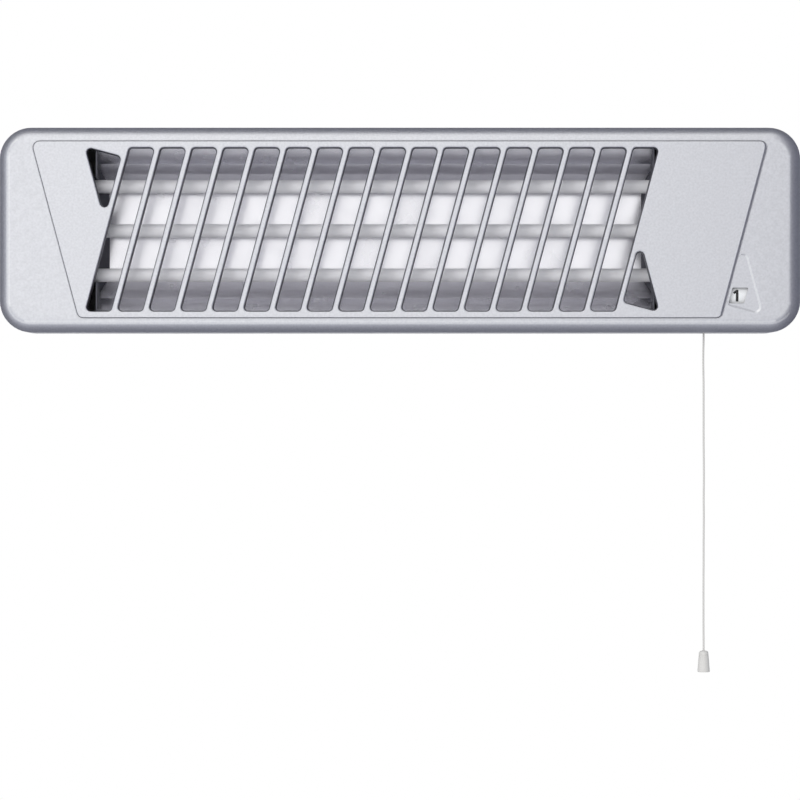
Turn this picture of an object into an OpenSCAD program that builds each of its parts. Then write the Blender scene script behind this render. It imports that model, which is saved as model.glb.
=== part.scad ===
// Quartz heater with three tubes, for the wall of a bathroom.
// The body tilts on a wall bracket, and a pull cord steps its switch from 0 to 3.
// The front faces -Y, the wall is the plane y = 0, and the origin lies midway
// between the two wall screws.

/* [Body] */
// Width of the body
body_w = 594; // [560:1:660]
// Height of the body
body_h = 152; // [148:1:172]
// Depth of the body, from the bezel's face to the rear face
body_d = 62; // [60:0.5:76]
// Radius of the body's corners, seen from the front
corner_r = 23.5; // [18:0.5:28]
// Radius of the rounded edge round the front
edge_r = 10; // [6:0.5:12]
// Depth of the front housing
front_d = 39.5; // [38.5:0.5:42]
// Wall of both housings
wall = 2.5; // [2:0.1:3]
// Thickness of the front housing's face
face_t = 3; // [2.6:0.1:3.6]
// Thickness of the gasket between the housings
gasket_t = 1; // [0.6:0.1:2]
// How far the rear face is drawn in on every side
rear_inset = 21; // [16:0.5:26]
// Straight depth of the rear housing before its sides slope in
rear_straight = 7.5; // [6:0.5:9]

/* [Grille panel] */
// Lean of the panel's sides and of the bars, in degrees
lean = 15; // [12:0.5:17]
// Bezel above and below the panel
panel_edge_gap = 10.6; // [10:0.1:13]
// Bezel beside the panel, at mid height
panel_side_gap = 41.7; // [39:0.1:45]
// Corner radius of the panel
panel_r = 5; // [4:0.5:8]
// Thickness of the panel
panel_t = 2.4; // [2:0.1:2.8]
// How far the panel stands proud of the bezel
panel_proud = 1; // [0.4:0.1:1.6]
// Gap round the panel
panel_gap = 0.5; // [0.3:0.1:0.8]
// Width of the ledge that the panel rests on
ledge_w = 3.4; // [2.6:0.1:3.8]
// Width of a bar, measured level
bar_w = 4.7; // [3.5:0.1:6]
// Depth of a bar
bar_d = 6; // [5:0.1:7]
// Distance from one bar to the next
slot_pitch = 23.3; // [21:0.1:26]
// Panel above and below the slots
slot_edge = 5; // [4.8:0.1:7]
// Corner radius of a slot
slot_r = 2.8; // [1.5:0.1:4]
// Panel left of the slots, at mid height
left_margin = 39.1; // [37:0.1:42]
// Panel right of the slots, at mid height, in front of the switch
control_margin = 79.9; // [78:0.1:90]
// Width of the bar between the end slots and the three-cornered openings
end_bar_w = 4.5; // [4:0.1:9]
// Level width of a three-cornered opening at mid height, if its sides ran on
corner_w = 4.4; // [3:0.1:9]

/* [Quartz tubes] */
// Outside diameter of a quartz tube
tube_d = 10; // [9:0.5:12]
// Wall of a quartz tube
tube_wall = 1; // [0.8:0.1:1.5]
// Distance from one tube to the next
tube_pitch = 33; // [31:0.5:34]
// Depth of the tubes' axes behind the bezel's face
tube_depth = 22; // [20:0.5:24]
// Outside diameter of a heating coil
coil_d = 5; // [4:0.5:6]
// Bare tube between the reflector's end and the ceramic cap
tube_over = 13; // [10:0.5:13.5]
// Diameter of a ceramic cap
cap_d = 14; // [13:0.5:16]
// Length of a ceramic cap
cap_len = 10; // [9:0.5:11]
// Diameter of a terminal pin
pin_d = 2.4; // [2:0.1:3]
// Free length of a terminal pin
pin_free = 5; // [4:0.5:6]

/* [Reflector] */
// Thickness of the reflector's sheet
reflector_t = 0.8; // [0.6:0.1:1.2]
// Distance from the tubes' axes to the reflector's flat
tube_to_flat = 15.2; // [13:0.1:16]
// Reflector past the slots at the left, at mid height
reflector_left = 8.2; // [6:0.1:10]
// Reflector past the slots at the right, at mid height
reflector_right = 12.3; // [10:0.1:14]
// Thickness of the end frames' sheet
end_frame_t = 1; // [0.8:0.1:1.5]
// Gap between the reflector and the heat shield
shield_gap = 5; // [4:0.5:6]
// Thickness of the heat shield
shield_t = 0.8; // [0.6:0.1:1.2]

/* [Switch and indicator] */
// Height of the indicator window
window_h = 11.6; // [10:0.1:13]
// Level width of the indicator window
window_w = 11.7; // [10:0.1:14]
// Centre of the window above the body's lower edge
window_up = 27.2; // [26:0.1:30]
// Bezel between the panel and the window
window_gap = 1.6; // [1.2:0.1:3]
// Depth of the sunk facet round the window
facet_d = 0.8; // [0.4:0.1:1.2]
// Diameter of the indicator drum
drum_d = 24; // [22:0.5:26]
// Length of the indicator drum
drum_w = 18.5; // [17:0.5:20]
// Diameter of the selector shaft
shaft_d = 6; // [5:0.5:7]
// Radius at which the cord winds on the pulley
pulley_r = 10; // [9:0.5:11]
// Width of the pulley
pulley_w = 5; // [4.5:0.5:6]
// Sheet of the switch frame
frame_t = 1.5; // [1:0.1:2]
// Length of the switch body along the shaft
switch_len = 14.5; // [13:0.5:15]

/* [Pull cord] */
// Diameter of the cord
cord_d = 1.6; // [1.2:0.1:2]
// Distance from the cord to the body's right side
cord_side = 70.1; // [68.8:0.1:71]
// Height of the knob
knob_h = 16; // [13:0.5:20]
// Diameter of the knob at its top
knob_top_d = 6.7; // [6:0.1:8]
// Diameter of the knob at its mouth
knob_d = 9.2; // [8.5:0.1:12]

/* [Wall bracket] */
// Width of the bracket over its arms
bracket_w = 260; // [230:1:280]
// Height of the bracket's wall plate
bracket_h = 36; // [30:1:44]
// Sheet of the bracket and of the pivot ears
bracket_t = 2; // [1.5:0.1:3]
// Height of an arm
arm_h = 20; // [16:1:22]
// Distance from the wall to the tilt axis
pivot_from_wall = 34; // [32:0.5:44]
// Distance from the tilt axis to the rear housing
pivot_to_body = 12; // [11.5:0.5:16]
// Diameter of the pivot screws
pivot_d = 5; // [4:0.5:6]
// Distance between the two wall screws
screw_spacing = 200; // [160:1:210]
// Diameter of the holes for the wall screws
wall_hole_d = 5.2; // [4.5:0.1:6]

/* [Hidden] */

$fn = 48;
eps = 1;              // how far a cut runs past the face it opens
slack = 0.1;          // room between fixed pieces that are pushed together
clear = 0.4;          // room between pieces that must not touch
run_fit = 0.08;       // radial room of a shaft in its bearing
arc_steps = 4;        // flats in a round corner of a leaning outline
lean_t = tan(lean);
lean_c = cos(lean);

// Planes across the depth, wall at 0, front at the lowest value
half_w = body_w / 2;
half_h = body_h / 2;
pivot_y = -pivot_from_wall;
back_y = pivot_y - pivot_to_body;
front_y = back_y - body_d;
seam_y = front_y + front_d;
rear_rim_y = seam_y + gasket_t;
slope_y = rear_rim_y + rear_straight;
face_in_y = front_y + face_t;
panel_face_y = front_y - panel_proud;
seat_y = panel_face_y + panel_t;
bar_back_y = panel_face_y + bar_d;
lip_y = bar_back_y + clear;
tube_y = front_y + tube_depth;
flat_y = tube_y + tube_to_flat;
flat_back_y = flat_y + reflector_t;
shield_y = flat_back_y + shield_gap;
shield_back_y = shield_y + shield_t;
rear_in_y = back_y - wall;

// Panel and slots, in the plane of the front
panel_hz = half_h - panel_edge_gap;
panel_mid = half_w - panel_side_gap;
slot_hz = panel_hz - slot_edge;
slot_w = slot_pitch - bar_w;
field_room = 2 * panel_mid - left_margin - control_margin;
slot_count = floor((field_room + bar_w + 1) / slot_pitch);
field_x0 = -panel_mid + left_margin;
field_x1 = field_x0 + slot_count * slot_pitch - bar_w;
field_mid = (field_x0 + field_x1) / 2;
corner_r0 = field_x0 - end_bar_w;
corner_l0 = corner_r0 + corner_w;
opening_r = 2.9;
opening_rise = 0.5;
rim_w = 1.5;
panel_screw_z = [half_h - 28, -14];
panel_screw_in = 9.3;
pad_r = 7;

// Reflector, tubes and their holders
tube_zs = [tube_pitch, 0, -tube_pitch];
reflector_x0 = field_x0 - reflector_left;
reflector_x1 = field_x1 + reflector_right;
mouth_hz = slot_hz + 1.2;
flat_hz = tube_pitch + 1;
knee_hz = mouth_hz - 11.5;
frame_hz = tube_pitch + tube_d / 2 + 3.2;
knee_y = lip_y + (flat_y - lip_y) * 0.58;
lip_hz = half_h - wall - 3;
lip_screw_z = half_h - wall - 6.4;
lip_screw_xs = [reflector_x0 + 40, field_mid, reflector_x1 - 40];
frame_screw_out = 6;
cap_grip = 7;
washer_t = 0.8;
neck_r = 4;
neck_len = 3.5;
frame_out = tube_over + cap_len + washer_t;
cheek_in = 6.5;
cheek_gap = 0.5;
pin_start = tube_over + cap_grip - 2;
pin_end = tube_over + cap_len + neck_len + pin_free;
link_x = reflector_x0 - pin_end + 2.5;

// Housing screws
corner_screw_x = half_w - 9;
corner_screw_z = half_h - 24;
edge_screw_z = half_h - 9.5;
edge_screw_xs = [field_mid - 75, field_mid + 80];
boss_r = 4;
screw_r = 1.5;
head_r = 2.8;
head_h = 2;
seat_depth = 5.5;
housing_screw_at = [
    for (s = [-1, 1], q = [-1, 1]) [s * corner_screw_x, q * corner_screw_z],
    for (x = edge_screw_xs, q = [-1, 1]) [x, q * edge_screw_z]
];

// Window, drum and switch
window_z = -half_h + window_up;
window_x = panel_mid + window_z * lean_t + (panel_gap + window_gap) / lean_c + window_w / 2;
facet_side = 7.9;
facet_r = 3.4;
facet_below = 2.8;
lens_flange = 1;
drum_r = drum_d / 2;
shaft_r = shaft_d / 2;
shaft_y = face_in_y + lens_flange + 0.5 + drum_r;
shaft_z = window_z;
drum_x0 = window_x - drum_w / 2;
drum_x1 = window_x + drum_w / 2;
cord_x = half_w - cord_side;
cord_y = shaft_y + pulley_r;
flange_r = pulley_r + 1.5;
spring_w = 2;
arm_left_x = cord_x - pulley_w / 2 - spring_w - 2 * 0.3;
arm_right_x = drum_x1 + 1.2;
arm_r = 9;
ratchet_x = cord_x + pulley_w / 2 + 0.8;
ratchet_w = 3;
ratchet_r = 8.6;
base_y = shaft_y + drum_r + 3;
base_x0 = arm_left_x - frame_t - 9;
base_z1 = shaft_z + drum_r + 14;
frame_screw_at = [
    [arm_right_x - 6, shaft_z + drum_r + 9.5],
    [arm_left_x - frame_t - 4.5, -half_h + wall + 5],
    [arm_right_x - 6, -half_h + wall + 5]
];
frame_boss_r = 3.5;
switch_hs = drum_r + 0.4;
switch_wall = 1.5;
switch_x0 = arm_right_x + frame_t;
switch_x1 = switch_x0 + switch_len;
cover_t = 1.5;
cam_r = 7;
contact_xs = [switch_x0 + 3.5, switch_x0 + 7, switch_x0 + 10.5];
blade_end_y = shaft_y + switch_hs + 4;

// Pull cord: its exit, and its route as steps from the exit
bush_r = 3.8;
cord_hole_r = cord_d / 2 + clear;
exit_z = -half_h;
swing_z = exit_z - 0.8;
cord_steps = [
    [0, 0, -1.2], [0, 0, -6], [-0.2, 0, -14], [-0.3, 0, -22], [0, 0, -36],
    [0, 0.1, -52], [0, 0.1, -68], [0, 0, -84], [0.2, 0, -98], [0.2, -0.1, -112],
    [0, -0.1, -124], [0.2, 0, -138], [0, 0, -154], [0, 0, -170], [-0.1, 0, -186],
    [-0.1, 0, -202], [-0.1, 0, -218], [0, 0, -230], [0, 0, -237.7]
];
cord_end = cord_steps[len(cord_steps) - 1];
knot_r = 1.9;
knob_z1 = exit_z + cord_end[2] + 0.4;
knob_neck_t = 2.4;

// Wall bracket and pivot
arm_r_out = arm_h / 2;
ear_gap = 0.05;
friction_t = 0.6;
ear_x = bracket_w / 2 - bracket_t - friction_t - ear_gap;
ear_foot_w = 24;
ear_foot_h = 30;
ear_screw_in = 13;
ear_screw_z = 9;
nut_t = 4;

// Lengths of the screws below their heads
housing_screw_len = 17;
ear_screw_len = 8;
frame_screw_len = 9;
shield_screw_len = 9;
clamp_screw_len = 7.6;

// Rear fittings
rear_room = rear_in_y - shield_back_y;
back_run_y = shield_back_y + rear_room / 2;
grommet_x = -half_w + 42;
grommet_z = -22;
grommet_r = 6.5;
block_x = -half_w + 42;
block_z = 20;
block_w = 34;
block_h = 17;
block_d = 11;
clamp_z = -3;
clamp_span = 24;
shield_hz = half_h - 18;
post_r = 4;
shield_post_at = [
    for (x = [reflector_x0 + 18, reflector_x1 - 18], q = [-1, 1]) [x, q * (shield_hz - 12)]
];
cutout_x = reflector_x1 - 38;
cutout_z = 8;
cutout_y1 = shield_back_y + 0.42 * rear_room;
tag_y1 = shield_back_y + 0.68 * rear_room;
low_lane_z = 30;
high_lane_z = 36;
lead_r = 1.1;

silver = [0.80, 0.81, 0.83];
sheet = [0.70, 0.70, 0.72];
dark = [0.16, 0.16, 0.17];
ivory = [0.92, 0.90, 0.85];
brass = [0.78, 0.62, 0.32];

// Placing helpers
module along_y(y0, y1) {
    translate([0, y1, 0]) rotate([90, 0, 0]) linear_extrude(y1 - y0) children();
}

module along_x(x0, x1) {
    translate([x0, 0, 0]) rotate([90, 0, 90]) linear_extrude(x1 - x0) children();
}

module along_z(z0, z1) {
    translate([0, 0, z0]) linear_extrude(z1 - z0) children();
}

module rod_y(x, z, r, y0, y1) {
    translate([x, y1, z]) rotate([90, 0, 0]) cylinder(r = r, h = y1 - y0);
}

module rod_x(y, z, r, x0, x1) {
    translate([x0, y, z]) rotate([0, 90, 0]) cylinder(r = r, h = x1 - x0);
}

module block(x0, x1, y0, y1, z0, z1) {
    translate([x0, y0, z0]) cube([x1 - x0, y1 - y0, z1 - z0]);
}

// A flat outline with straight sides and round corners
function unit(v) = v / norm(v);

function corner_parts(a, b, c, r) =
    let (u = unit(a - b), w = unit(c - b), half = acos(u * w) / 2)
    [b + unit(u + w) * (r / sin(half)), b + u * (r / tan(half)), b + w * (r / tan(half))];

function arc(p) =
    let (v = p[1] - p[0], w = p[2] - p[0], turn = acos(unit(v) * unit(w)))
    [for (i = [0 : arc_steps])
        p[0] + (v * sin(turn * (1 - i / arc_steps)) + w * sin(turn * i / arc_steps)) / sin(turn)];

module rounded(pts, r) {
    n = len(pts);
    polygon([for (i = [0 : n - 1])
        each arc(corner_parts(pts[(i + n - 1) % n], pts[i], pts[(i + 1) % n], r))]);
}

module round_rect(w, h, r) {
    square([w, h - 2 * r], center = true);
    square([w - 2 * r, h], center = true);
    for (sx = [-1, 1], sy = [-1, 1]) translate([sx * (w / 2 - r), sy * (h / 2 - r)]) circle(r = r);
}

// A tube of radius r swept along points, with flat ends
function steer(p, i) =
    i == 0 ? unit(p[1] - p[0]) :
    i == len(p) - 1 ? unit(p[i] - p[i - 1]) :
    unit(unit(p[i + 1] - p[i]) + unit(p[i] - p[i - 1]));

function square_to(v, d) = unit(v - (v * d) * d);

module sweep(p, r, sides) {
    n = len(p);
    first = square_to(abs(steer(p, 0)[0]) > 0.8 ? [0, 0, 1] : [1, 0, 0], steer(p, 0));
    across = [for (i = 0, u = first; i < n; i = i + 1, u = i < n ? square_to(u, steer(p, i)) : u) u];
    rings = [for (i = [0 : n - 1], k = [0 : sides - 1])
        let (a = 360 * k / sides, d = steer(p, i))
        p[i] + r * (cos(a) * across[i] + sin(a) * cross(d, across[i]))];
    skin = [for (i = [0 : n - 2], k = [0 : sides - 1])
        let (a = i * sides + k, b = i * sides + (k + 1) % sides)
        each [[a, a + sides, b + sides], [a, b + sides, b]]];
    start_cap = [for (k = [0 : sides - 1]) k];
    end_cap = [for (k = [sides - 1 : -1 : 0]) (n - 1) * sides + k];
    polyhedron(rings, concat(skin, [start_cap, end_cap]));
}

// A pan-head screw whose head rests on the plane y = seat, pointing to -Y
module screw_to_front(x, z, seat, len, r = screw_r, hr = head_r, hh = head_h) {
    rod_y(x, z, r, seat - len, seat + 0.2);
    rod_y(x, z, hr, seat, seat + hh);
}

// The panel's outline, grown by g
function panel_pts(g) =
    let (h = panel_hz + g, m = panel_mid + g / lean_c)
    [[-m - h * lean_t, h], [m + h * lean_t, h], [m - h * lean_t, -h], [-m + h * lean_t, -h]];

// A leaning slot of level width w about x, grown by g
function slot_pts(x, w, g) =
    let (h = slot_hz + g, q = w / 2 + g / lean_c)
    [[x - q + h * lean_t, h], [x + q + h * lean_t, h], [x + q - h * lean_t, -h], [x - q - h * lean_t, -h]];

// The three-cornered opening at the left, grown by g: its sides lean both ways,
// and its top is square to the right-hand side
function corner_pts(g) =
    let (
        l0 = corner_l0 - g / lean_c,
        r0 = corner_r0 + g / lean_c,
        top_x = corner_l0 - slot_hz * lean_t,
        top_z = slot_hz + opening_rise + g / lean_c,
        low_z = (l0 - r0) / (2 * lean_t),
        left_z = (top_z - (l0 - top_x) * lean_t) / (1 - lean_t * lean_t),
        right_z = (top_z - (r0 - top_x) * lean_t) / (1 + lean_t * lean_t)
    )
    [[l0 - left_z * lean_t, left_z], [r0 + right_z * lean_t, right_z], [r0 + low_z * lean_t, low_z]];

function turned(pts) = [for (p = pts) [2 * field_mid - p[0], -p[1]]];

// The sunk facet right of the panel, with the window in it
function facet_pts() =
    let (
        l0 = panel_mid + panel_gap * 0.5,
        r0 = window_x + window_w / 2 + facet_side + window_z * lean_t,
        low = window_z - window_h / 2 - facet_below,
        apex_z = -(r0 - l0) / (-2 * lean_t),
        left_z = (low + (window_x - l0) * lean_t) / (1 + lean_t * lean_t),
        right_z = (low + (window_x - r0) * lean_t) / (1 - lean_t * lean_t)
    )
    [[l0 + left_z * lean_t, left_z], [r0 - right_z * lean_t, right_z],
     [r0 - apex_z * lean_t, apex_z]];

function window_pts(g) =
    let (h = window_h / 2 + g, q = window_w / 2 + g / lean_c)
    [[window_x - q + h * lean_t, window_z + h], [window_x + q + h * lean_t, window_z + h],
     [window_x + q - h * lean_t, window_z - h], [window_x - q - h * lean_t, window_z - h]];

function panel_screw_at() =
    [for (s = [-1, 1], z = panel_screw_z) [s * (panel_mid + z * lean_t - panel_screw_in), z]];

// A flat block with round corners and a rounded front edge, its back on z = 0
module edge_profile(rc, re, d) {
    square([rc, d - re]);
    square([rc - re, d]);
    intersection() {
        translate([rc - re, d - re]) circle(r = re);
        translate([rc - re, d - re]) square([re, re]);
    }
}

module slab(w, h, d, rc, re) {
    cw = w - 2 * rc;
    ch = h - 2 * rc;
    translate([-cw / 2, -ch / 2, 0]) cube([cw, ch, d]);
    for (q = [0, 1, 2, 3]) {
        along = q % 2 == 0 ? ch : cw;
        reach = q % 2 == 0 ? cw / 2 : ch / 2;
        rotate([0, 0, 90 * q]) {
            translate([reach, along / 2, 0]) rotate([90, 0, 0])
                linear_extrude(along) edge_profile(rc, re, d);
            translate([reach, along / 2, 0])
                rotate_extrude(angle = 90) edge_profile(rc, re, d);
        }
    }
}

module front_slab(g, y0, y1) {
    translate([0, y1, 0]) rotate([90, 0, 0])
        slab(body_w - 2 * g, body_h - 2 * g, y1 - y0, corner_r - g, edge_r - g);
}

// The rear housing's form, drawn in by g on every side
module rear_form(g, y0) {
    run = back_y - slope_y;
    long = norm([run, rear_inset]);
    edge_y = slope_y - g * (long - run) / rear_inset;
    end_in = rear_inset + g * (long - rear_inset) / run;
    function side(h) = [
        [y0, h - g], [edge_y, h - g], [back_y - g, h - end_in],
        [back_y - g, -h + end_in], [edge_y, -h + g], [y0, -h + g]
    ];
    intersection() {
        along_y(y0, back_y - g) round_rect(body_w - 2 * g, body_h - 2 * g, corner_r - g);
        along_x(-half_w, half_w) polygon(side(half_h));
        along_z(-half_h, half_h) polygon([for (p = side(half_w)) [p[1], p[0]]]);
    }
}

// Wall bracket: a steel plate with two arms that reach forward to the tilt axis
module wall_bracket() color(sheet) {
    difference() {
        along_y(-bracket_t, 0) round_rect(bracket_w, bracket_h, 5);
        for (s = [-1, 1])
            rod_y(s * screw_spacing / 2, 0, wall_hole_d / 2, -bracket_t - eps, eps);
    }
    for (s = [-1, 1]) {
        x0 = s > 0 ? bracket_w / 2 - bracket_t : -bracket_w / 2;
        difference() {
            union() {
                block(x0, x0 + bracket_t, pivot_y, -bracket_t / 2, -arm_r_out, arm_r_out);
                rod_x(pivot_y, 0, arm_r_out, x0, x0 + bracket_t);
            }
            rod_x(pivot_y, 0, pivot_d / 2 + run_fit, x0 - eps, x0 + bracket_t + eps);
        }
    }
}

module friction_washers() color(dark) for (s = [-1, 1]) {
    x0 = s > 0 ? ear_x + ear_gap : -ear_x - ear_gap - friction_t;
    difference() {
        rod_x(pivot_y, 0, arm_r_out - 1.5, x0, x0 + friction_t);
        rod_x(pivot_y, 0, pivot_d / 2 + 0.3, x0 - eps, x0 + friction_t + eps);
    }
}

// Pivot ear: a steel angle on the rear housing, with a welded nut
module pivot_ear() color(sheet) {
    difference() {
        union() {
            block(ear_x - bracket_t, ear_x, back_y, pivot_y, -arm_r_out, arm_r_out);
            rod_x(pivot_y, 0, arm_r_out, ear_x - bracket_t, ear_x);
            block(ear_x - ear_foot_w, ear_x, back_y, back_y + bracket_t, -ear_foot_h / 2, ear_foot_h / 2);
            translate([ear_x - bracket_t - nut_t, pivot_y, 0]) rotate([0, 90, 0])
                cylinder(r = pivot_d, h = nut_t + bracket_t / 2, $fn = 6);
        }
        rod_x(pivot_y, 0, pivot_d / 2 + slack / 2, ear_x - bracket_t - nut_t - eps, ear_x + eps);
        for (q = [-1, 1])
            rod_y(ear_x - ear_screw_in, q * ear_screw_z, screw_r + slack, back_y - eps, back_y + bracket_t + eps);
    }
}

module pivot_ear_right() pivot_ear();
module pivot_ear_left() mirror([1, 0, 0]) pivot_ear();

module pivot_screws() color(sheet) for (s = [-1, 1]) mirror([s < 0 ? 1 : 0, 0, 0]) {
    face = bracket_w / 2 + ear_gap;
    rod_x(pivot_y, 0, pivot_d / 2, ear_x - bracket_t - nut_t - 1, face + 0.5);
    rod_x(pivot_y, 0, pivot_d * 0.95, face, face + 1);
    translate([face + 1, pivot_y, 0]) rotate([0, 90, 0]) cylinder(r = pivot_d * 0.85, h = 3, $fn = 6);
}

module ear_screws() color(sheet) for (s = [-1, 1], q = [-1, 1])
    screw_to_front(s * (ear_x - ear_screw_in), q * ear_screw_z, back_y + bracket_t, ear_screw_len);

// Rear housing: a moulded shell with vents, screw wells and posts for what it carries
module rear_housing() color(silver) {
    vent_w = 4;
    vent_pitch = 14;
    vent_z0 = half_h - rear_inset + 3;
    vent_z1 = half_h - 8;
    vent_n = floor((reflector_x1 - reflector_x0 - 30) / vent_pitch);
    difference() {
        union() {
            difference() {
                rear_form(0, rear_rim_y);
                rear_form(wall, rear_rim_y - eps);
            }
            intersection() {
                rear_form(0, rear_rim_y);
                for (p = housing_screw_at) rod_y(p[0], p[1], boss_r + 1.5, rear_rim_y, back_y);
            }
            for (p = shield_post_at) rod_y(p[0], p[1], post_r, shield_back_y, rear_in_y + wall / 2);
            for (s = [-1, 1], q = [-1, 1])
                rod_y(s * (ear_x - ear_screw_in), q * ear_screw_z, post_r, back_y - wall - 6, rear_in_y + wall / 2);
            for (s = [-1, 1])
                rod_y(block_x + s * clamp_span / 2, clamp_z, post_r, rear_in_y - 5, rear_in_y + wall / 2);
            rod_y(block_x, block_z, post_r, rear_in_y - 2, rear_in_y + wall / 2);
        }
        for (p = housing_screw_at) {
            rod_y(p[0], p[1], screw_r + 0.3, rear_rim_y - eps, back_y + eps);
            rod_y(p[0], p[1], head_r + 0.8, rear_rim_y + seat_depth, back_y + eps);
        }
        for (p = shield_post_at)
            rod_y(p[0], p[1], screw_r + slack / 2, shield_back_y - eps, shield_back_y + shield_screw_len);
        for (s = [-1, 1], q = [-1, 1])
            rod_y(s * (ear_x - ear_screw_in), q * ear_screw_z, screw_r + slack / 2, back_y + bracket_t - ear_screw_len - 0.6, back_y + eps);
        for (s = [-1, 1])
            rod_y(block_x + s * clamp_span / 2, clamp_z, screw_r + slack / 2, rear_in_y - 5 - eps, rear_in_y);
        rod_y(grommet_x, grommet_z, grommet_r + slack, rear_in_y - eps, back_y + eps);
        for (k = [0 : vent_n], q = [-1, 1]) {
            x = (reflector_x0 + reflector_x1) / 2 + (k - vent_n / 2) * vent_pitch;
            near = min([for (e = edge_screw_xs) abs(x - e)]);
            if (near > boss_r + 2 + vent_w)
                block(x - vent_w / 2, x + vent_w / 2, slope_y, back_y + eps,
                    q > 0 ? vent_z0 : -vent_z1, q > 0 ? vent_z1 : -vent_z0);
        }
    }
}

module housing_gasket() color(dark) difference() {
    along_y(seam_y, rear_rim_y) round_rect(body_w - 1.6, body_h - 1.6, corner_r - 0.8);
    along_y(seam_y - eps, rear_rim_y + eps)
        round_rect(body_w - 2 * wall, body_h - 2 * wall, corner_r - wall);
}

// Front housing: a moulded bezel with a seat for the grille panel, and its screw bosses
module front_housing() color(silver) {
    difference() {
        union() {
            difference() {
                front_slab(0, front_y, seam_y);
                front_slab(wall, face_in_y, seam_y + eps);
                along_y(front_y - eps, seat_y) rounded(panel_pts(panel_gap), panel_r + panel_gap);
                along_y(seat_y - eps, face_in_y + eps) difference() {
                    rounded(panel_pts(-ledge_w), panel_r);
                    for (p = panel_screw_at()) translate(p) circle(r = pad_r);
                }
            }
            for (p = housing_screw_at) rod_y(p[0], p[1], boss_r, face_in_y - 0.5, rear_rim_y);
            for (x = lip_screw_xs, q = [-1, 1])
                rod_y(x, q * lip_screw_z, 3.2, face_in_y - 0.5, lip_y);
            for (x = [reflector_x0 - frame_screw_out, reflector_x1 + frame_screw_out], q = [-1, 1])
                rod_y(x, q * lip_screw_z, 3.2, face_in_y - 0.5, lip_y);
            for (p = frame_screw_at) rod_y(p[0], p[1], frame_boss_r, face_in_y - 0.5, base_y);
        }
        for (p = housing_screw_at)
            rod_y(p[0], p[1], screw_r + slack / 2, rear_rim_y + seat_depth - housing_screw_len - 1, rear_rim_y + eps);
        for (x = lip_screw_xs, q = [-1, 1])
            rod_y(x, q * lip_screw_z, screw_r + slack / 2, face_in_y - 1.5, lip_y + eps);
        for (x = [reflector_x0 - frame_screw_out, reflector_x1 + frame_screw_out], q = [-1, 1])
            rod_y(x, q * lip_screw_z, screw_r + slack / 2, face_in_y - 1.5, lip_y + eps);
        for (p = frame_screw_at)
            rod_y(p[0], p[1], screw_r + slack / 2, base_y + frame_t - frame_screw_len - 1, base_y + eps);
        for (p = panel_screw_at()) rod_y(p[0], p[1], boss_r, seat_y - eps, face_in_y + eps);
        along_y(front_y - eps, front_y + facet_d) rounded(facet_pts(), facet_r);
        along_y(front_y - eps, face_in_y + eps) rounded(window_pts(slack), 1);
        translate([cord_x, cord_y, -half_h - eps]) cylinder(r = bush_r + slack, h = wall + 2 * eps);
    }
}

module housing_screws() color(sheet)
    for (p = housing_screw_at) screw_to_front(p[0], p[1], rear_rim_y + seat_depth, housing_screw_len);

// Grille panel: a leaning plate with slots, deeper round the slots, clamped to the ledge
module grille_panel() color(silver) {
    difference() {
        union() {
            along_y(panel_face_y, seat_y) rounded(panel_pts(0), panel_r);
            along_y(seat_y - 0.5, bar_back_y) {
                rounded(slot_pts(field_mid, field_x1 - field_x0, rim_w), slot_r + rim_w);
                rounded(corner_pts(rim_w), opening_r + rim_w);
                rounded(turned(corner_pts(rim_w)), opening_r + rim_w);
            }
            for (p = panel_screw_at()) rod_y(p[0], p[1], boss_r - clear, seat_y - 0.5, face_in_y - 0.2);
        }
        for (k = [0 : slot_count - 1])
            along_y(panel_face_y - eps, bar_back_y + eps)
                rounded(slot_pts(field_x0 + slot_w / 2 + k * slot_pitch, slot_w, 0), slot_r);
        along_y(panel_face_y - eps, bar_back_y + eps) {
            rounded(corner_pts(0), opening_r);
            rounded(turned(corner_pts(0)), opening_r);
        }
        for (p = panel_screw_at())
            rod_y(p[0], p[1], screw_r - 0.3 + slack / 2, panel_face_y + 1, face_in_y + eps);
    }
}

module panel_screws() color(sheet) for (p = panel_screw_at())
    screw_to_front(p[0], p[1], face_in_y, face_in_y - panel_face_y - 1.3, screw_r - 0.3, boss_r + 1, 1.2);

function below(pts) = [for (i = [len(pts) - 1 : -1 : 0]) [pts[i][0], -pts[i][1]]];

// Reflector: a folded trough of polished sheet with a lip at its mouth
module reflector() color([0.85, 0.85, 0.87]) {
    t = reflector_t;
    upper = [[lip_y, lip_hz], [lip_y, mouth_hz], [knee_y, knee_hz], [flat_y, flat_hz]];
    behind = [[flat_back_y, flat_hz + 0.4 * t], [knee_y + 0.6 * t, knee_hz + 0.8 * t],
              [lip_y + t, mouth_hz + 0.9 * t], [lip_y + t, lip_hz]];
    difference() {
        along_x(reflector_x0, reflector_x1)
            polygon(concat(upper, below(upper), below(behind), behind));
        for (x = lip_screw_xs, q = [-1, 1])
            rod_y(x, q * lip_screw_z, screw_r + 0.2, lip_y - eps, lip_y + t + eps);
        for (x = edge_screw_xs, q = [-1, 1])
            rod_y(x, q * edge_screw_z, boss_r + 0.5, lip_y - eps, lip_y + t + eps);
    }
}

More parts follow.
